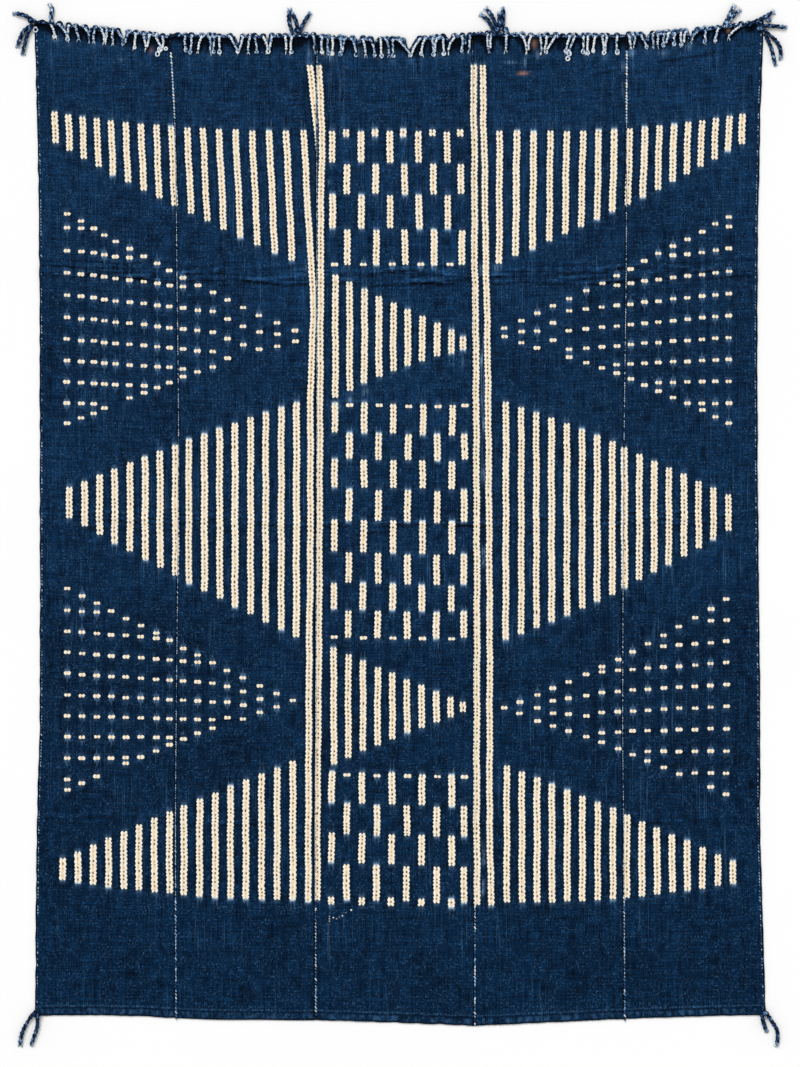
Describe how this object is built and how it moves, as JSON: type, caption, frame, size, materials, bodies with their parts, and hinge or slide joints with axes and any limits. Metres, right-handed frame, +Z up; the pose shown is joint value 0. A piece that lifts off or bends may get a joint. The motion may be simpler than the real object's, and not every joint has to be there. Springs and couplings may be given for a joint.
{
  "type": "indigo cloth",
  "caption": "Flat indigo-dyed cotton cloth of hand-woven strips sewn side by side, with a corded heading, corner tassels and a resist-dyed pattern of cream stripes and dots.",
  "frame": {"origin": "middle of the underside's bounding box, on the surface that the cloth lies on", "axes": "+X across the strips, +Y along the warp from foot to head, +Z up out of the face"},
  "size_m": [1.1606, 1.5621, 0.0064],
  "materials": {
    "indigo_cloth": "matt hand-woven cotton",
    "fringe_cord": "matt twisted cotton cord"
  },
  "bodies": {
    "root": {"panel_1": "indigo_cloth", "panel_2": "indigo_cloth", "panel_3": "indigo_cloth", "panel_4": "indigo_cloth", "panel_5": "indigo_cloth", "heading_1": "fringe_cord", "heading_2": "fringe_cord", "heading_3": "fringe_cord", "heading_4": "fringe_cord", "heading_5": "fringe_cord", "tassel_head_left": "fringe_cord", "tassel_head_right": "fringe_cord", "tassel_seam_2": "fringe_cord", "tassel_seam_3": "fringe_cord", "tassel_foot_left": "fringe_cord", "tassel_foot_right": "fringe_cord"}
  },
  "joints": []
}
